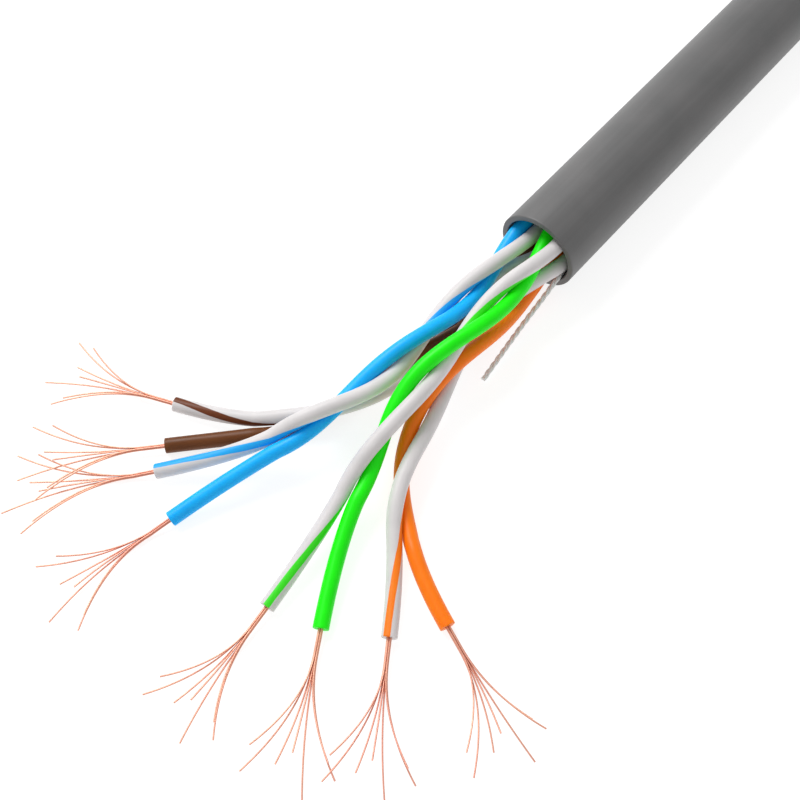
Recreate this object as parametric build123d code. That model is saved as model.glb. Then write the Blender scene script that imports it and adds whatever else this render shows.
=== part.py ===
from build123d import *
import math
import os

# The stripped end of a four-pair stranded data cable, lying on a flat surface.
# Millimetres, +Z up. The origin is the centre of the jacket's cut mouth, on the
# cable's axis. The jacket runs along +Y and the bared wires fan out towards -Y.

# ---------------------------------------------------------------- driving sizes
jacket_radius = 2.7
jacket_bore_radius = 2.32
jacket_length = 35.0

insulation_radius = 0.455
insulation_bore_radius = 0.165
wire_end_setback = 0.2          # the wires stop this far inside the jacket's rear cut

strand_radius = 0.048
strand_spacing = 0.1            # centre to centre of the seven strands

rip_cord_radius = 0.17

pair_circle_radius = 1.34       # from the cable's axis to a pair's own centre
straight_points = (6.0, 2.0)    # the pairs run straight up to these places in the jacket
twist_radius = 0.51             # from a pair's centre to the corners of a wire's route
corners_per_turn = 8
tip_half_gap = 1.6              # half the distance between a pair's two ends
opening_power = 1.5             # 1 would open a pair as a straight V
open_run = 2.4                  # length of a run where the two wires part
tip_height = -2.2               # the wires' ends rest just above the surface
arc_share = 0.45                # an arc takes this share of the shorter run beside it

# A pair lies in the jacket at core_angle about the axis. Its two wires make a turn
# every lay, the white one is uppermost at white_on_top from the mouth, they lie
# side by side a quarter turn after that, and they come apart from parts_at on. The
# route is the pair's centre line from its mouth on. For the white wire and for its
# mate, flare is how much longer than STRAND_TIPS the strands are, and how far to the
# side all their ends swing.
PAIRS = {
    "blue": {
        "core_angle": 162,
        "lay": 13.6,
        "white_on_top": 16.3,
        "parts_at": 20.0,
        "flare": ((1.1, -0.5), (1.02, -0.65)),
        "route": [
            (-1.27, 0.0, 0.41),
            (-1.1, -4.5, 0.3),
            (-1.2, -9.1, 0.3),
            (-1.5, -13.7, 0.35),
            (-2.5, -17.6, -0.05),
            (-3.8, -21.1, -1.1),
            (-6.5, -26.1, tip_height),
        ],
    },
    "green": {
        "core_angle": 70,
        "lay": 14.8,
        "white_on_top": 15.8,
        "parts_at": 19.8,
        "flare": ((1.0, 0.0), (1.08, 0.0)),
        "route": [
            (0.76, 0.3, 1.08),
            (1.05, -2.0, 1.2),
            (1.0, -4.6, 1.3),
            (1.1, -8.8, 1.1),
            (1.0, -13.2, 0.7),
            (1.4, -17.0, -0.3),
            (2.0, -21.3, -1.6),
            (4.1, -26.5, tip_height),
        ],
    },
    "orange": {
        "core_angle": -20,
        "lay": 15.5,
        "white_on_top": 17.5,
        "parts_at": 20.6,
        "flare": ((1.05, 0.0), (1.0, 0.35)),
        "route": [
            (1.26, 0.0, -0.65),
            (1.0, -4.4, -0.7),
            (1.05, -8.8, -0.75),
            (1.8, -13.0, -1.1),
            (3.3, -16.9, -1.3),
            (6.0, -19.8, -1.9),
            (9.7, -22.7, tip_height),
        ],
    },
    "brown": {
        "core_angle": 250,
        "lay": 15.0,
        "white_on_top": 17.2,
        "parts_at": 19.8,
        "flare": ((0.98, -0.3), (1.05, -0.35)),
        "route": [
            (-0.54, 0.0, -1.28),
            (-0.5, -4.4, -1.52),
            (-0.7, -9.0, -1.68),
            (-1.8, -13.3, -1.7),
            (-3.1, -17.2, -1.7),
            (-6.1, -20.3, -2.1),
            (-9.5, -22.7, tip_height),
        ],
    },
}

# Where the seven strands of a conductor end: how far past the insulation, and how
# far to the side and up from the wire's own line. The first number is the strand's
# place in the bundle, as an angle about its middle strand.
straight_bundle = 1.4           # the strands keep together this far past the insulation
flare_steps = 3
STRAND_TIPS = [
    (60, 6.2, 2.1, 0.4),
    (0, 7.4, 2.3, 0.1),
    (300, 6.8, 0.8, 0.0),
    (None, 6.2, 0.1, 0.3),
    (240, 8.2, -0.7, 0.0),
    (120, 6.4, -1.6, 0.4),
    (180, 7.1, -2.0, 0.1),
]

# The rip cord leaves the jacket between the orange and the brown pair.
RIP_CORD_ROUTE = [
    (1.36, jacket_length - wire_end_setback, -1.63),
    (1.36, 3.2, -1.63),
    (1.82, 0.3, -0.95),
    (1.92, -1.7, -1.55),
    (2.05, -4.4, -2.05),
    (2.45, -8.1, -2.5),
]


# ---------------------------------------------------------------- routes
def smooth_line(points):
    """A chain of quadratic Beziers, one at each inner point, that meet halfway."""
    points = [Vector(*p) for p in points]
    edges = []
    for i in range(1, len(points) - 1):
        first = i == 1
        last = i == len(points) - 2
        start = points[0] if first else (points[i - 1] + points[i]) / 2
        end = points[-1] if last else (points[i] + points[i + 1]) / 2
        edges.append(Bezier(start, points[i], end))
    return Wire(edges)


def pair_line(pair):
    """The centre line of a pair, from the rear cut to between its two ends."""
    angle = math.radians(pair["core_angle"])
    x = pair_circle_radius * math.cos(angle)
    z = pair_circle_radius * math.sin(angle)
    inside = [(x, y, z) for y in (jacket_length - wire_end_setback, *straight_points)]
    return smooth_line(inside + pair["route"])


def stations(rear, side_by_side, tip, twisted_run):
    """Distances past the mouth of the corners of a pair's two wires."""
    twisted = round((side_by_side - rear) / twisted_run)
    untwisted = round((tip - side_by_side) / open_run)
    return (
        [rear + (side_by_side - rear) * i / twisted for i in range(twisted)]
        + [side_by_side + (tip - side_by_side) * i / untwisted for i in range(untwisted + 1)]
    )


def wire_route(pair, half_turns):
    """Corners of one wire; half_turns is 0 for the white wire and 1 for its mate."""
    line = pair_line(pair)
    rear = wire_end_setback - jacket_length
    tip = line.length + rear
    side_by_side = pair["white_on_top"] + pair["lay"] / 4
    corners = []
    for s in stations(rear, side_by_side, tip, pair["lay"] / corners_per_turn):
        centre = line.position_at(s - rear, PositionMode.LENGTH)
        direction = line.tangent_at(s - rear, PositionMode.LENGTH)
        side = direction.cross(Vector(0, 0, 1)).normalized()
        up = side.cross(direction)
        turn = 90 - 360 * (min(s, side_by_side) - pair["white_on_top"]) / pair["lay"]
        angle = math.radians(turn + 180 * half_turns)
        opened = max(0, s - pair["parts_at"]) / (tip - pair["parts_at"])
        reach = twist_radius + (tip_half_gap - twist_radius) * opened**opening_power
        corners.append(centre + (side * math.cos(angle) + up * math.sin(angle)) * reach)
    return corners


def corner_radii(corners):
    """The largest tangent arc at each corner that its shorter run allows."""
    radii = []
    for a, b, c in zip(corners, corners[1:], corners[2:]):
        half_turn = math.radians((b - a).get_angle(c - b)) / 2
        radii.append(arc_share * min((b - a).length, (c - b).length) / math.tan(half_turn))
    return radii


def offset_route(corners, radii, side, up):
    """A route beside another one, with arcs about the same centres."""
    runs = [(b - a).normalized() for a, b in zip(corners, corners[1:])]
    across = runs[0].cross(Vector(0, 0, 1)).normalized()
    shift = across * side + across.cross(runs[0]) * up
    out = [corners[0] + shift]
    out_radii = []
    for corner, radius, before, after in zip(corners[1:], radii, runs, runs[1:]):
        inward = (after - before * after.dot(before)).normalized()
        out_radii.append(radius - shift.dot(inward))
        toward = shift.dot(inward)
        half_turn = math.radians(before.get_angle(after)) / 2
        out.append(corner + shift - before * (toward * math.tan(half_turn)))
        after_inward = (after * before.dot(after) - before).normalized()
        shift = shift - inward * toward + after_inward * toward
    out.append(corners[-1] + shift)
    return out, out_radii, runs[-1]


# ---------------------------------------------------------------- solids
def tube(corners, radii, outer, bore=0):
    """A round tube or rod along straight runs joined by tangent arcs."""
    path = FilletPolyline(*corners, radius=radii)
    section = Plane(path @ 0, z_dir=path % 0)
    ring = Circle(outer) - Circle(bore) if bore else Circle(outer)
    solid = sweep(section * ring, path=path)
    expected = math.pi * (outer**2 - bore**2) * path.length
    return solid, path.length, solid.volume / expected


def strand_routes(corners, radii, flare):
    """Routes of the seven strands of one wire, flared past the insulation."""
    longer, swing = flare
    routes = []
    for place, reach, aside, rise in STRAND_TIPS:
        angle = math.radians(place or 0)
        ring = strand_spacing if place is not None else 0
        side, up = ring * math.cos(angle), ring * math.sin(angle)
        points, arcs, ahead = offset_route(corners, radii, side, up)
        level = ahead.cross(Vector(0, 0, 1)).normalized()
        along = Vector(0, 0, 1).cross(level)
        points[-1] += ahead * straight_bundle
        base = points[-1]
        for step in range(1, flare_steps + 1):
            t = step / flare_steps
            spread = (level * (aside + swing) + Vector(0, 0, rise)) * t**2
            points.append(base + (along * (reach - straight_bundle) * t + spread) * longer)
        arcs = arcs + corner_radii(points[-flare_steps - 2:])
        routes.append((points, arcs))
    return routes


def report(name, length, ratio, radii):
    print(
        f"{name:24s} length {length:6.1f}  volume/section*length {ratio:.4f}"
        f"  radii {min(radii):.1f} to {max(radii):.1f}"
    )


def save(name, solids):
    shape = solids[0] if len(solids) == 1 else Compound(children=solids)
    shape.label = name
    export_step(shape, f"parts/{name}.step")


os.makedirs("parts", exist_ok=True)

# Jacket: a plain round tube, cut square at both ends.
rear = Plane((0, jacket_length, 0), x_dir=(1, 0, 0), z_dir=(0, -1, 0))
jacket_section = Circle(jacket_radius) - Circle(jacket_bore_radius)
save("outer_jacket", [extrude(rear * jacket_section, jacket_length)])

# Two insulated wires in each pair, each with its own seven-strand conductor.
for colour, pair in PAIRS.items():
    for half_turns, name in ((0, f"white_{colour}"), (1, colour)):
        corners = wire_route(pair, half_turns)
        radii = corner_radii(corners)
        solid, length, ratio = tube(corners, radii, insulation_radius, insulation_bore_radius)
        report(f"insulation_{name}", length, ratio, radii)
        save(f"insulation_{name}", [solid])
        strands = []
        for points, arcs in strand_routes(corners, radii, pair["flare"][half_turns]):
            strand, length, ratio = tube(points, arcs, strand_radius)
            strands.append(strand)
        report(f"conductor_{name}", length, ratio, arcs)
        save(f"conductor_{name}", strands)

# Rip cord.
rip_points = [Vector(*p) for p in RIP_CORD_ROUTE]
rip_radii = corner_radii(rip_points)
rip_cord, length, ratio = tube(rip_points, rip_radii, rip_cord_radius)
report("rip_cord", length, ratio, rip_radii)
save("rip_cord", [rip_cord])
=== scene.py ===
"""The stripped end of a four-pair stranded data cable, on a pale studio floor.

The row's frame is used as it is: metres, +Z up, the origin at the centre of the
jacket's cut mouth, the jacket along +Y and the bared wires fanning out to -Y. Sizes
are written in millimetres, as a cable maker gives them, and turned to metres once.
"""
import math

import bpy
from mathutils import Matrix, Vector


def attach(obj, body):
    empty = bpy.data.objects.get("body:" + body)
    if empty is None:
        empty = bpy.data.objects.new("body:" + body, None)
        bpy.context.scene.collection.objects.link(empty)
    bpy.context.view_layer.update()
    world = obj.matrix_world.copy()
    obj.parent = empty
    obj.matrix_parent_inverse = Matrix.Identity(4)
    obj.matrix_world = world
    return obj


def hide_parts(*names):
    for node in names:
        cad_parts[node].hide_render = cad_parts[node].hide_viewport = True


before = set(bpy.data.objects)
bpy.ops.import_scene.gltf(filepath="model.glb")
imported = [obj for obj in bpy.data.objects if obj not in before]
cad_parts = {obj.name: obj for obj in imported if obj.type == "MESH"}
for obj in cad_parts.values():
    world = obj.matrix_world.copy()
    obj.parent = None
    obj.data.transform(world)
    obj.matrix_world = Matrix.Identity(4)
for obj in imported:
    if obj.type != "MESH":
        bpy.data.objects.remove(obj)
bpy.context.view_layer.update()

MM = 0.001                     # a millimetre, in the frame's metres

# ---------------------------------------------------------------- cable sizes, mm
JACKET_RADIUS = 2.7
JACKET_BORE = 2.32
JACKET_LENGTH = 35.0
INSULATION_RADIUS = 0.455
INSULATION_BORE = 0.165
WIRE_END_SETBACK = 0.2         # the wires stop this far inside the jacket's rear cut
STRAND_RADIUS = 0.048
STRAND_SPACING = 0.1
STRAIGHT_BUNDLE = 1.4          # the strands keep together this far past the insulation
PAIR_CIRCLE = 1.34             # from the cable's axis to a pair's own centre
STRAIGHT_POINTS = (6.0, 2.0)   # the pairs run straight up to these places in the jacket
TWIST_RADIUS = 0.474           # from a pair's centre to the centre of either wire
OPENING_POWER = 1.5            # 1 would open a pair as a straight V
TIP_HEIGHT = -2.2              # the wires' ends rest just above the surface
PLIES = 3                      # the rip cord's yarn is this many plies, twisted
PLY_RADIUS = 0.085
PLY_LAY = 1.7                  # the plies go once round in this length
WIRE_CUT_EDGE = 0.025          # the radius that a cut leaves on a wire's insulation
JACKET_CUT_EDGE = 0.05         # and on the jacket
STRIPE_HALF_WIDTH = 0.062      # as a part of the way round a wire
STRIPE_WANDER = 0.02           # how much its edges wander, the same way
STRIPE_SOFT_EDGE = 0.006
UNSTRIPED = (0, 1, 17)         # the jacket's map winds like a stripe too, and nothing reads it

# ---------------------------------------------------------------- mesh fineness
WIRE_STEP = 0.2                # mm from one ring of a wire to the next
JACKET_STEP = 0.5
RIP_CORD_STEP = 0.1
WIRE_SIDES = 28
JACKET_SIDES = 96
STRAND_SIDES = 8
PLY_SIDES = 10
BORE_THINNING = 3              # a bore has one ring for this many outside
STRAND_THINNING = 2            # and so has a strand inside its insulation
BUNDLE_STEPS = 5
FLARE_STEPS = 18
LINE_RESOLUTION = 48           # points on each span of a spline
UV_PER_METRE = 100             # V counts centimetres along a tube

# A pair lies in the jacket at core_angle about the axis. Its two wires make a turn
# every lay, the white one is uppermost at white_on_top from the mouth, they lie side
# by side a quarter turn after that, and they come apart from parts_at on, to twice
# tip_half_gap at their ends. For the white wire and for its mate, flare is how much
# longer than STRAND_TIPS the strands are, and how far to the side all their ends swing.
# The stripe is its angle at the wire's end, in degrees about the wire from its -X side,
# the length over which it winds up to its full lay, and that lay, in which it goes once
# round its wire.
PAIRS = {
    "blue": {
        "core_angle": 162,
        "lay": 13.9,
        "white_on_top": 17.0,
        "parts_at": 20.3,
        "tip_half_gap": 1.6,
        "flare": ((1.1, -0.5), (1.02, -0.65)),
        "stripe": (67, 7.6, 14.6),
        "route": [
            (-1.27, 0.0, 0.41),
            (-1.1, -4.5, 0.3),
            (-1.2, -9.1, 0.3),
            (-1.4, -13.8, 0.2),
            (-2.45, -17.85, -0.05),
            (-3.8, -21.1, -1.1),
            (-6.5, -26.1, TIP_HEIGHT),
        ],
    },
    "green": {
        "core_angle": 70,
        "lay": 14.1,
        "white_on_top": 16.4,
        "parts_at": 19.8,
        "tip_half_gap": 1.6,
        "flare": ((1.0, 0.0), (1.08, 0.0)),
        "stripe": (97, 5.8, 17.0),
        "route": [
            (0.76, 0.3, 1.08),
            (1.05, -2.0, 1.2),
            (1.0, -4.6, 1.3),
            (0.9, -8.8, 1.1),
            (0.8, -13.2, 0.7),
            (1.4, -17.0, -0.3),
            (2.35, -21.3, -1.6),
            (4.1, -26.5, TIP_HEIGHT),
        ],
    },
    "orange": {
        "core_angle": -20,
        "lay": 15.5,
        "white_on_top": 17.5,
        "parts_at": 20.6,
        "tip_half_gap": 1.6,
        "flare": ((1.05, 0.0), (1.0, 0.35)),
        "stripe": (72, 5.0, 14.0),
        "route": [
            (1.26, 0.0, -0.65),
            (1.0, -4.4, -0.7),
            (1.05, -8.8, -0.75),
            (1.8, -13.0, -1.1),
            (3.3, -16.9, -1.3),
            (6.0, -19.8, -1.9),
            (9.7, -22.7, TIP_HEIGHT),
        ],
    },
    "brown": {
        "core_angle": 250,
        "lay": 15.0,
        "white_on_top": 17.2,
        "parts_at": 19.8,
        "tip_half_gap": 1.4,
        "flare": ((0.98, -0.3), (1.05, -0.35)),
        "stripe": (75, 1.0, 17.0),
        "route": [
            (-0.55, 0.0, -1.2),
            (-1.2, -1.9, -1.5),
            (-0.8, -4.6, -1.6),
            (-1.0, -9.0, -1.68),
            (-1.8, -13.3, -1.7),
            (-3.1, -17.2, -1.7),
            (-6.1, -20.3, -2.1),
            (-9.5, -22.7, TIP_HEIGHT),
        ],
    },
}

# Where the seven strands end: place in the bundle as an angle about the middle strand,
# how far past the insulation, how far to the side and how far up.
STRAND_TIPS = [
    (60, 6.2, 2.1, 0.4),
    (0, 7.4, 2.3, 0.1),
    (300, 6.8, 0.8, 0.0),
    (None, 6.2, 0.1, 0.3),
    (240, 8.2, -0.7, 0.0),
    (120, 6.4, -1.6, 0.4),
    (180, 7.1, -2.0, 0.1),
]

# The rip cord leaves the jacket between the orange and the brown pair.
RIP_CORD_ROUTE = [
    (1.36, JACKET_LENGTH - WIRE_END_SETBACK, -1.63),
    (1.36, 6.2, -1.63),
    (1.36, 3.2, -1.63),
    (1.82, 0.3, -0.95),
    (1.92, -1.7, -1.55),
    (2.05, -4.4, -2.05),
    (2.45, -8.1, -2.5),
]


# ---------------------------------------------------------------- camera
CAMERA_PLACE = (20.67, -36.93, 55.79)   # mm
CAMERA_TILT = 61.0                      # degrees down from level
CAMERA_TURN = 40.8                      # degrees from looking along the jacket

camera_data = bpy.data.cameras.new("Camera")
camera_data.lens = 50
camera_data.sensor_width = 36
camera_data.clip_start = 0.001
camera_data.clip_end = 10
camera = bpy.data.objects.new("Camera", camera_data)
camera.location = Vector(CAMERA_PLACE) * MM
camera.rotation_euler = (math.radians(90 - CAMERA_TILT), 0, math.radians(CAMERA_TURN))
bpy.context.scene.collection.objects.link(camera)
bpy.context.scene.camera = camera


# ---------------------------------------------------------------- small tools
def srgb(text):
    """A colour from its sRGB hex value, as the linear numbers that a socket takes."""
    out = []
    for i in (1, 3, 5):
        channel = int(text[i:i + 2], 16) / 255
        out.append(channel / 12.92 if channel <= 0.04045 else ((channel + 0.055) / 1.055) ** 2.4)
    return (*out, 1.0)


def add_node(tree, kind, sockets=None, stops=(), **settings):
    """Adds one node; a socket is given a value, or the output that it is linked to.

    The stops are a colour ramp's two, each its place and its colour.
    """
    node = tree.nodes.new(kind)
    for key, value in settings.items():
        setattr(node, key, value)
    for key, value in (sockets or {}).items():
        if isinstance(value, bpy.types.NodeSocket):
            tree.links.new(value, node.inputs[key])
        else:
            node.inputs[key].default_value = value
    for i, (position, colour) in enumerate(stops):
        node.color_ramp.elements[i].position = position
        node.color_ramp.elements[i].color = colour
    return node


def link_object(name, data):
    """A new object in the scene, at the origin."""
    obj = bpy.data.objects.new(name, data)
    bpy.context.scene.collection.objects.link(obj)
    return obj


def evaluated_mesh(obj):
    """A plain mesh of what an object's curve or modifiers make."""
    bpy.context.view_layer.update()
    depsgraph = bpy.context.evaluated_depsgraph_get()
    return bpy.data.meshes.new_from_object(obj.evaluated_get(depsgraph))


# ---------------------------------------------------------------- lines
def smooth_line(name, points):
    """The points that a NURBS spline with these control points passes through."""
    data = bpy.data.curves.new(name, "CURVE")
    data.dimensions = "3D"
    data.resolution_u = LINE_RESOLUTION
    spline = data.splines.new("NURBS")
    spline.points.add(len(points) - 1)
    for point, place in zip(spline.points, points):
        point.co = (*(Vector(place) * MM), 1)
    spline.order_u = 3
    spline.use_endpoint_u = True
    curve = link_object(name, data)
    mesh = evaluated_mesh(curve)
    line = [v.co.copy() for v in mesh.vertices]
    bpy.data.meshes.remove(mesh)
    bpy.data.objects.remove(curve)
    return line


def length_of(line):
    """The length of a line of points."""
    return sum((b - a).length for a, b in zip(line, line[1:]))


def walk(line, step):
    """Places every step along a line: how far along, the point and the direction."""
    total = length_of(line)
    count = round(total / step)
    places, i, done = [], 0, 0.0
    for k in range(count + 1):
        want = total * k / count
        while i < len(line) - 2 and done + (line[i + 1] - line[i]).length < want:
            done += (line[i + 1] - line[i]).length
            i += 1
        run = line[i + 1] - line[i]
        places.append((want, line[i] + run * ((want - done) / run.length)))
    out = []
    for k, (along, point) in enumerate(places):
        before = places[max(k - 1, 0)][1]
        after = places[min(k + 1, count)][1]
        out.append((along, point, (after - before).normalized()))
    return out


def side_and_up(direction):
    """Two directions across a line: level, and as near to upwards as it gets."""
    side = direction.cross(Vector((0, 0, 1))).normalized()
    return side, side.cross(direction)


def wire_line(pair, half_turns):
    """The middle of one wire of a pair; half_turns is 0 for the white one."""
    angle = math.radians(pair["core_angle"])
    x, z = PAIR_CIRCLE * math.cos(angle), PAIR_CIRCLE * math.sin(angle)
    inside = [(x, y, z) for y in (JACKET_LENGTH - WIRE_END_SETBACK, *STRAIGHT_POINTS)]
    places = walk(smooth_line("pair line", inside + pair["route"]), WIRE_STEP * MM)
    rear = WIRE_END_SETBACK - JACKET_LENGTH
    tip = places[-1][0] / MM + rear
    side_by_side = pair["white_on_top"] + pair["lay"] / 4
    line = []
    for along, centre, direction in places:
        past_mouth = along / MM + rear
        side, up = side_and_up(direction)
        turn = 90 - 360 * (min(past_mouth, side_by_side) - pair["white_on_top"]) / pair["lay"]
        around = math.radians(turn + 180 * half_turns)
        opened = max(0, past_mouth - pair["parts_at"]) / (tip - pair["parts_at"])
        reach = TWIST_RADIUS + (pair["tip_half_gap"] - TWIST_RADIUS) * opened**OPENING_POWER
        line.append(centre + (side * math.cos(around) + up * math.sin(around)) * reach * MM)
    return line


# ---------------------------------------------------------------- tubes
def stripe_angle(from_tip, at_tip, eases, lay):
    """Where a stripe is about its wire, in radians; it winds up slowly over eases."""
    wound = from_tip**2 / (2 * eases) if from_tip < eases else from_tip - eases / 2
    return math.radians(at_tip) + 2 * math.pi * wound / lay


def tube_mesh(name, places, outer, bore, edge, sides, stripe=UNSTRIPED):
    """A wall along a line, open inside, with both cut ends finished by a small radius.

    Its UV map holds the place about the line, 0.5 at the stripe, and the distance
    along it in centimetres.
    """
    total = places[-1][0]

    def end_rings(k, sign):
        """Rings over one cut end: how far back from it, in edges, and their radius."""
        along, point, direction = places[k]
        for back, radius in (
            (2.5, outer), (1.0, outer), (0.3, outer - 0.3 * edge), (0.0, outer - edge),
            (0.0, outer - 2 * edge), (0.0, bore + 2 * edge), (0.0, bore + edge),
            (0.3, bore + 0.3 * edge), (1.0, bore), (2.5, bore),
        ):
            shift = -sign * back * edge
            yield along + shift, point + direction * shift, direction, radius

    near = 3 * edge                # the end rings take this much of each end
    outside = [(*place, outer) for place in places if near < place[0] < total - near]
    inside = [(*place, bore) for place in places[::BORE_THINNING] if near < place[0] < total - near]
    rings = outside + list(end_rings(-1, 1)) + inside[::-1] + list(end_rings(0, -1))[::-1]
    verts, distances = [], []
    for along, point, direction, radius in rings:
        side, up = side_and_up(direction)
        turned = stripe_angle((total - along) / MM, *stripe)
        distances.append(along)
        for k in range(sides):
            around = turned + 2 * math.pi * k / sides + math.pi
            verts.append(point + (side * math.cos(around) + up * math.sin(around)) * radius)
    faces, uvs = [], []
    count = len(rings)
    for i in range(count):
        j = (i + 1) % count
        for k in range(sides):
            beside = (k + 1) % sides
            faces.append((i * sides + k, i * sides + beside, j * sides + beside, j * sides + k))
            u0, u1 = k / sides, (k + 1) / sides
            v0, v1 = distances[i] * UV_PER_METRE, distances[j] * UV_PER_METRE
            uvs += [(u0, v0), (u1, v0), (u1, v1), (u0, v1)]
    mesh = bpy.data.meshes.new(name)
    mesh.from_pydata(verts, [], faces)
    layer = mesh.uv_layers.new(name="UVMap")
    for corner, uv in zip(layer.data, uvs):
        corner.uv = uv
    mesh.polygons.foreach_set("use_smooth", [True] * len(mesh.polygons))
    mesh.update()
    return mesh


def strand_tree():
    """Geometry Nodes: a round strand along every line of the mesh, cut square."""
    tree = bpy.data.node_groups.new("Round strands along lines", "GeometryNodeTree")
    tree.interface.new_socket("Lines", in_out="INPUT", socket_type="NodeSocketGeometry")
    tree.interface.new_socket("Strand radius", in_out="INPUT", socket_type="NodeSocketFloat")
    tree.interface.new_socket("Sides", in_out="INPUT", socket_type="NodeSocketInt")
    tree.interface.new_socket("Finish", in_out="INPUT", socket_type="NodeSocketMaterial")
    tree.interface.new_socket("Strands", in_out="OUTPUT", socket_type="NodeSocketGeometry")
    given = add_node(tree, "NodeGroupInput").outputs
    curve = add_node(tree, "GeometryNodeMeshToCurve", {"Mesh": given["Lines"]})
    circle = add_node(tree, "GeometryNodeCurvePrimitiveCircle",
                      {"Resolution": given["Sides"], "Radius": given["Strand radius"]})
    swept = add_node(tree, "GeometryNodeCurveToMesh",
                     {"Curve": curve.outputs[0], "Profile Curve": circle.outputs[0], "Fill Caps": True})
    corners = add_node(tree, "GeometryNodeInputMeshFaceNeighbors")
    is_wall = add_node(tree, "FunctionNodeCompare", {2: corners.outputs["Vertex Count"], 3: 4},
                       data_type="INT", operation="EQUAL")
    smooth = add_node(tree, "GeometryNodeSetShadeSmooth",
                      {"Geometry": swept.outputs[0], "Shade Smooth": is_wall.outputs[0]})
    real = add_node(tree, "GeometryNodeRealizeInstances", {"Geometry": smooth.outputs[0]})
    finished = add_node(tree, "GeometryNodeSetMaterial",
                        {"Geometry": real.outputs[0], "Material": given["Finish"]})
    add_node(tree, "NodeGroupOutput", {"Strands": finished.outputs[0]})
    return tree


def make_strands(name, lines, radius, sides, material):
    """One piece with a strand along each line."""
    mesh = bpy.data.meshes.new(name + " lines")
    verts, edges = [], []
    for line in lines:
        edges += [(len(verts) + i, len(verts) + i + 1) for i in range(len(line) - 1)]
        verts += line
    mesh.from_pydata(verts, edges, [])
    obj = link_object(name, mesh)
    modifier = obj.modifiers.new("Strands", "NODES")
    modifier.node_group = STRANDS
    ids = {s.name: s.identifier for s in STRANDS.interface.items_tree if s.in_out == "INPUT"}
    modifier[ids["Strand radius"]] = radius * MM
    modifier[ids["Sides"]] = sides
    modifier[ids["Finish"]] = material
    made = evaluated_mesh(obj)
    obj.modifiers.remove(modifier)
    obj.data = made
    made.name = name
    bpy.data.meshes.remove(mesh)
    return obj


STRANDS = strand_tree()


# ---------------------------------------------------------------- materials
def principled(name):
    """An empty material with its shader, and the shader and its tree."""
    material = bpy.data.materials.new(name)
    material.use_nodes = True
    tree = material.node_tree
    tree.nodes.clear()
    shader = add_node(tree, "ShaderNodeBsdfPrincipled")
    add_node(tree, "ShaderNodeOutputMaterial", {"Surface": shader.outputs[0]})
    return material, tree, shader


def jacket_pvc():
    """Flexible PVC, extruded: mid grey, satin, faint draw lines and a fine orange peel."""
    material, tree, shader = principled("Extruded grey PVC jacket")
    place = add_node(tree, "ShaderNodeTexCoord").outputs["Object"]
    along = add_node(tree, "ShaderNodeMapping", {"Vector": place, "Scale": (1, 0.03, 1)}).outputs[0]
    # Clouds 3 mm across, draw lines 0.35 mm apart along the jacket, and a peel of 0.12 mm.
    cloud = add_node(tree, "ShaderNodeTexNoise",
                     {"Vector": place, "Scale": 1 / (3.0 * MM), "Detail": 3}).outputs[0]
    lines = add_node(tree, "ShaderNodeTexNoise", {"Vector": along, "Scale": 1 / (0.35 * MM)}).outputs[0]
    peel = add_node(tree, "ShaderNodeTexNoise", {"Vector": place, "Scale": 1 / (0.12 * MM)}).outputs[0]
    tint = add_node(tree, "ShaderNodeValToRGB", {"Fac": cloud},
                    stops=((0.3, srgb("#5D5D5D")), (0.7, srgb("#646363")))).outputs[0]
    drawn = add_node(tree, "ShaderNodeValToRGB", {"Fac": lines},
                     stops=((0.35, srgb("#F4F4F4")), (0.65, srgb("#FFFFFF")))).outputs[0]
    colour = add_node(tree, "ShaderNodeMix", {0: 1.0, 6: tint, 7: drawn},
                      data_type="RGBA", blend_type="MULTIPLY").outputs[2]
    dullness = add_node(tree, "ShaderNodeMapRange", {
        "Value": lines, "From Min": 0.3, "From Max": 0.7, "To Min": 0.42, "To Max": 0.52,
    }).outputs[0]
    relief = add_node(tree, "ShaderNodeMath", {0: lines, 1: peel}, operation="ADD").outputs[0]
    bump = add_node(tree, "ShaderNodeBump",
                    {"Height": relief, "Distance": 0.006 * MM, "Strength": 0.6}).outputs[0]
    tree.links.new(colour, shader.inputs["Base Color"])
    tree.links.new(dullness, shader.inputs["Roughness"])
    tree.links.new(bump, shader.inputs["Normal"])
    shader.inputs["IOR"].default_value = 1.53
    return material


def stripe_mask(tree, place):
    """1 on the stripe and 0 off it, on a wire whose map has U at 0.5 along the stripe."""
    uv = add_node(tree, "ShaderNodeUVMap", uv_map="UVMap").outputs[0]
    around = add_node(tree, "ShaderNodeSeparateXYZ", {0: uv}).outputs[0]
    off = add_node(tree, "ShaderNodeMath", {0: around, 1: 0.5}, operation="SUBTRACT").outputs[0]
    off = add_node(tree, "ShaderNodeMath", {0: off}, operation="ABSOLUTE").outputs[0]
    # The stripe's edges wander over 1.2 mm.
    wander = add_node(tree, "ShaderNodeTexNoise", {"Vector": place, "Scale": 1 / (1.2 * MM)}).outputs[0]
    edge = add_node(tree, "ShaderNodeMath", {0: wander, 1: STRIPE_WANDER, 2: STRIPE_HALF_WIDTH},
                    operation="MULTIPLY_ADD").outputs[0]
    inside = add_node(tree, "ShaderNodeMath", {0: edge, 1: off}, operation="SUBTRACT").outputs[0]
    return add_node(tree, "ShaderNodeMapRange", {
        "Value": inside, "From Min": -STRIPE_SOFT_EDGE, "From Max": STRIPE_SOFT_EDGE,
    }).outputs[0]


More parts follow.
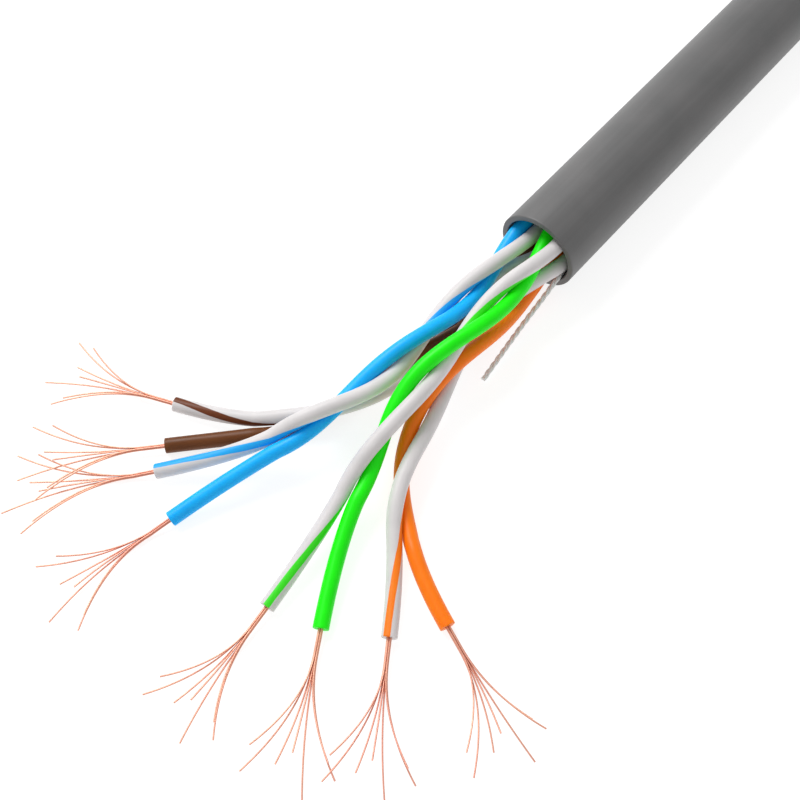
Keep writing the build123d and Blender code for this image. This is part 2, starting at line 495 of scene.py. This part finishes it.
def insulation_pe(name, body, shade, stripe=None):
    """Polyethylene, extruded over the strands: smooth, waxy and a little translucent."""
    material, tree, shader = principled(name)
    place = add_node(tree, "ShaderNodeTexCoord").outputs["Object"]
    # Tint and gloss change over 1.5 mm, and the skin has a grain of 0.08 mm.
    cloud = add_node(tree, "ShaderNodeTexNoise", {"Vector": place, "Scale": 1 / (1.5 * MM)}).outputs[0]
    fine = add_node(tree, "ShaderNodeTexNoise", {"Vector": place, "Scale": 1 / (0.08 * MM)}).outputs[0]
    colour = add_node(tree, "ShaderNodeValToRGB", {"Fac": cloud},
                      stops=((0.3, srgb(shade)), (0.7, srgb(body)))).outputs[0]
    if stripe:
        colour = add_node(tree, "ShaderNodeMix", {0: stripe_mask(tree, place), 6: colour, 7: srgb(stripe)},
                          data_type="RGBA").outputs[2]
    dullness = add_node(tree, "ShaderNodeMapRange", {
        "Value": cloud, "From Min": 0.3, "From Max": 0.7, "To Min": 0.36, "To Max": 0.46,
    }).outputs[0]
    bump = add_node(tree, "ShaderNodeBump",
                    {"Height": fine, "Distance": 0.003 * MM, "Strength": 0.5}).outputs[0]
    tree.links.new(colour, shader.inputs["Base Color"])
    tree.links.new(dullness, shader.inputs["Roughness"])
    tree.links.new(bump, shader.inputs["Normal"])
    shader.inputs["IOR"].default_value = 1.51
    shader.inputs["Specular IOR Level"].default_value = 0.25
    shader.inputs["Subsurface Weight"].default_value = 0.35
    shader.inputs["Subsurface Radius"].default_value = (1.0, 1.0, 1.0)
    shader.inputs["Subsurface Scale"].default_value = 0.3 * MM
    return material


def bare_copper():
    """Annealed copper, drawn bare: salmon metal, with paler and warmer stretches."""
    material, tree, shader = principled("Bare drawn copper")
    place = add_node(tree, "ShaderNodeTexCoord").outputs["Object"]
    # Tarnish changes over 6 mm. Drawing marks are too fine to show, so they are 0.25 mm.
    tarnish = add_node(tree, "ShaderNodeTexNoise", {"Vector": place, "Scale": 1 / (6.0 * MM)}).outputs[0]
    fine = add_node(tree, "ShaderNodeTexNoise", {"Vector": place, "Scale": 1 / (0.25 * MM)}).outputs[0]
    tint = add_node(tree, "ShaderNodeValToRGB", {"Fac": tarnish},
                    stops=((0.35, srgb("#E6A490")), (0.65, srgb("#EEB69C")))).outputs[0]
    dullness = add_node(tree, "ShaderNodeMapRange", {
        "Value": fine, "From Min": 0.3, "From Max": 0.7, "To Min": 0.42, "To Max": 0.55,
    }).outputs[0]
    tree.links.new(tint, shader.inputs["Base Color"])
    tree.links.new(dullness, shader.inputs["Roughness"])
    shader.inputs["Metallic"].default_value = 1
    return material


def rip_yarn():
    """Polyester yarn, twisted: pale grey and dull, with fine lengthwise fibres."""
    material, tree, shader = principled("Twisted polyester yarn")
    place = add_node(tree, "ShaderNodeTexCoord").outputs["Object"]
    along = add_node(tree, "ShaderNodeMapping", {"Vector": place, "Scale": (1, 0.2, 1)}).outputs[0]
    # Real fibres are too fine to show, so these are 0.05 mm wide.
    fibres = add_node(tree, "ShaderNodeTexNoise", {"Vector": along, "Scale": 1 / (0.05 * MM)}).outputs[0]
    tint = add_node(tree, "ShaderNodeValToRGB", {"Fac": fibres},
                    stops=((0.3, srgb("#CCCECC")), (0.7, srgb("#ECEEEC")))).outputs[0]
    bump = add_node(tree, "ShaderNodeBump",
                    {"Height": fibres, "Distance": 0.01 * MM, "Strength": 0.8}).outputs[0]
    tree.links.new(tint, shader.inputs["Base Color"])
    tree.links.new(bump, shader.inputs["Normal"])
    shader.inputs["Roughness"].default_value = 0.6
    shader.inputs["Sheen Weight"].default_value = 0.3
    return material


def studio_paper():
    """Matte paper, lit from within a little, so that the floor stays pale in the shade."""
    material, tree, shader = principled("Matte white studio paper")
    place = add_node(tree, "ShaderNodeTexCoord").outputs["Object"]
    # The floor is seen from far off, so its grain is 8 mm.
    grain = add_node(tree, "ShaderNodeTexNoise", {"Vector": place, "Scale": 1 / (8.0 * MM)}).outputs[0]
    tint = add_node(tree, "ShaderNodeValToRGB", {"Fac": grain},
                    stops=((0.3, srgb("#989898")), (0.7, srgb("#9C9C9C")))).outputs[0]
    tree.links.new(tint, shader.inputs["Base Color"])
    shader.inputs["Roughness"].default_value = 0.9
    shader.inputs["Specular IOR Level"].default_value = 0.1
    shader.inputs["Emission Color"].default_value = srgb("#FFFFFF")
    shader.inputs["Emission Strength"].default_value = 0.8
    return material


COPPER = bare_copper()

# For each colour: the two tints of its solid wire, and the stripe on its white mate.
WIRE_COLOURS = {
    "blue": ("#06B4FF", "#04ACF6", "#1CA8EC"),
    "green": ("#14F600", "#12EC00", "#3CDC20"),
    "orange": ("#FF8008", "#FC7804", "#F88018"),
    "brown": ("#6C3C16", "#643612", "#6A3414"),
}
WHITE_TINTS = ("#D8D4D4", "#D0CDCD")
INSULATION = {}
for colour, (body, shade, stripe) in WIRE_COLOURS.items():
    INSULATION[colour] = insulation_pe(f"{colour.title()} polyethylene insulation", body, shade)
    article = "an" if colour == "orange" else "a"
    INSULATION["white_" + colour] = insulation_pe(
        f"White polyethylene with {article} {colour} stripe", *WHITE_TINTS, stripe)


# ---------------------------------------------------------------- wires
def strand_lines(places, flare):
    """Lines of the seven strands of a wire, flared past its insulation."""
    longer, swing = flare
    lines = []
    _, end, ahead = places[-1]
    level, lift = side_and_up(ahead)
    up = Vector((0, 0, 1))
    flat = up.cross(level)
    for place, reach, aside, rise in STRAND_TIPS:
        angle = math.radians(place or 0)
        ring = STRAND_SPACING if place is not None else 0
        shift_side, shift_up = ring * math.cos(angle), ring * math.sin(angle)
        line = []
        for _, point, direction in places[::STRAND_THINNING]:
            across, over = side_and_up(direction)
            line.append(point + (across * shift_side + over * shift_up) * MM)
        base = end + (level * shift_side + lift * shift_up) * MM
        for step in range(1, BUNDLE_STEPS + 1):
            line.append(base + ahead * (STRAIGHT_BUNDLE * step / BUNDLE_STEPS * MM))
        base = line[-1]
        for step in range(1, FLARE_STEPS + 1):
            t = step / FLARE_STEPS
            out = flat * (reach - STRAIGHT_BUNDLE) * t
            spread = (level * (aside + swing) + up * rise) * t**2
            line.append(base + (out + spread) * longer * MM)
        lines.append(line)
    return lines


def make_wire(name, pair, half_turns):
    """One wire: its insulation and its bundle of strands."""
    places = walk(wire_line(pair, half_turns), WIRE_STEP * MM)
    insulation = link_object("wall_" + name, tube_mesh(
        "wall_" + name, places, INSULATION_RADIUS * MM, INSULATION_BORE * MM,
        WIRE_CUT_EDGE * MM, WIRE_SIDES, pair["stripe"]))
    insulation.data.materials.append(INSULATION[name])
    lines = strand_lines(places, pair["flare"][half_turns])
    conductor = make_strands("strands_" + name, lines, STRAND_RADIUS, STRAND_SIDES, COPPER)
    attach(insulation, "root")
    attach(conductor, "root")
    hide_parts("insulation_" + name)
    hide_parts("conductor_" + name)


for colour, pair in PAIRS.items():
    make_wire("white_" + colour, pair, half_turns=0)
    make_wire(colour, pair, half_turns=1)

# ---------------------------------------------------------------- jacket
jacket_line = [Vector((0, 0, 0)), Vector((0, JACKET_LENGTH * MM, 0))]
jacket_places = walk(jacket_line, JACKET_STEP * MM)
jacket = link_object("jacket_tube", tube_mesh(
    "jacket_tube", jacket_places, JACKET_RADIUS * MM, JACKET_BORE * MM,
    JACKET_CUT_EDGE * MM, JACKET_SIDES))
jacket.data.materials.append(jacket_pvc())
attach(jacket, "root")
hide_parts("outer_jacket")

# ---------------------------------------------------------------- rip cord
rip_places = walk(smooth_line("rip cord line", RIP_CORD_ROUTE), RIP_CORD_STEP * MM)
ply_lines = []
for ply in range(PLIES):
    line = []
    for along, point, direction in rip_places:
        side, up = side_and_up(direction)
        turn = 2 * math.pi * (along / (PLY_LAY * MM) + ply / PLIES)
        line.append(point + (side * math.cos(turn) + up * math.sin(turn)) * PLY_RADIUS * MM)
    ply_lines.append(line)
rip_cord = make_strands("rip_yarn", ply_lines, PLY_RADIUS, PLY_SIDES, rip_yarn())
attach(rip_cord, "root")
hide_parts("rip_cord")

# ---------------------------------------------------------------- studio
FLOOR_REACH = 1                # metres from the mouth to each edge of the floor
LIT_PLACE = (0, -8, 0)         # mm, on the twisted run

floor_corners = [(x * FLOOR_REACH, y * FLOOR_REACH, -JACKET_RADIUS * MM)
                 for x, y in ((-1, -1), (1, -1), (1, 1), (-1, 1))]
floor_mesh = bpy.data.meshes.new("floor")
floor_mesh.from_pydata(floor_corners, [], [(0, 1, 2, 3)])
floor = link_object("floor", floor_mesh)
floor_mesh.materials.append(studio_paper())

scene = bpy.context.scene
scene.view_settings.view_transform = "Standard"
scene.view_settings.look = "None"
world = bpy.data.worlds.new("Studio")
scene.world = world
world.use_nodes = True
sky = world.node_tree.nodes["Background"]
sky.inputs["Color"].default_value = srgb("#FFFFFF")
sky.inputs["Strength"].default_value = 0.58


def softbox(name, place_mm, power, size_mm):
    """A square soft light, aimed at LIT_PLACE."""
    data = bpy.data.lights.new(name, "AREA")
    data.energy = power
    data.size = size_mm * MM
    light = link_object(name, data)
    light.location = Vector(place_mm) * MM
    aim = light.location - Vector(LIT_PLACE) * MM
    light.rotation_euler = aim.to_track_quat("Z", "Y").to_euler()


softbox("key softbox", place_mm=(-150, 20, 170), power=0.42, size_mm=120)
softbox("fill softbox", place_mm=(150, -120, 120), power=0.02, size_mm=140)

# ---------------------------------------------------------------- last update
bpy.context.view_layer.update()
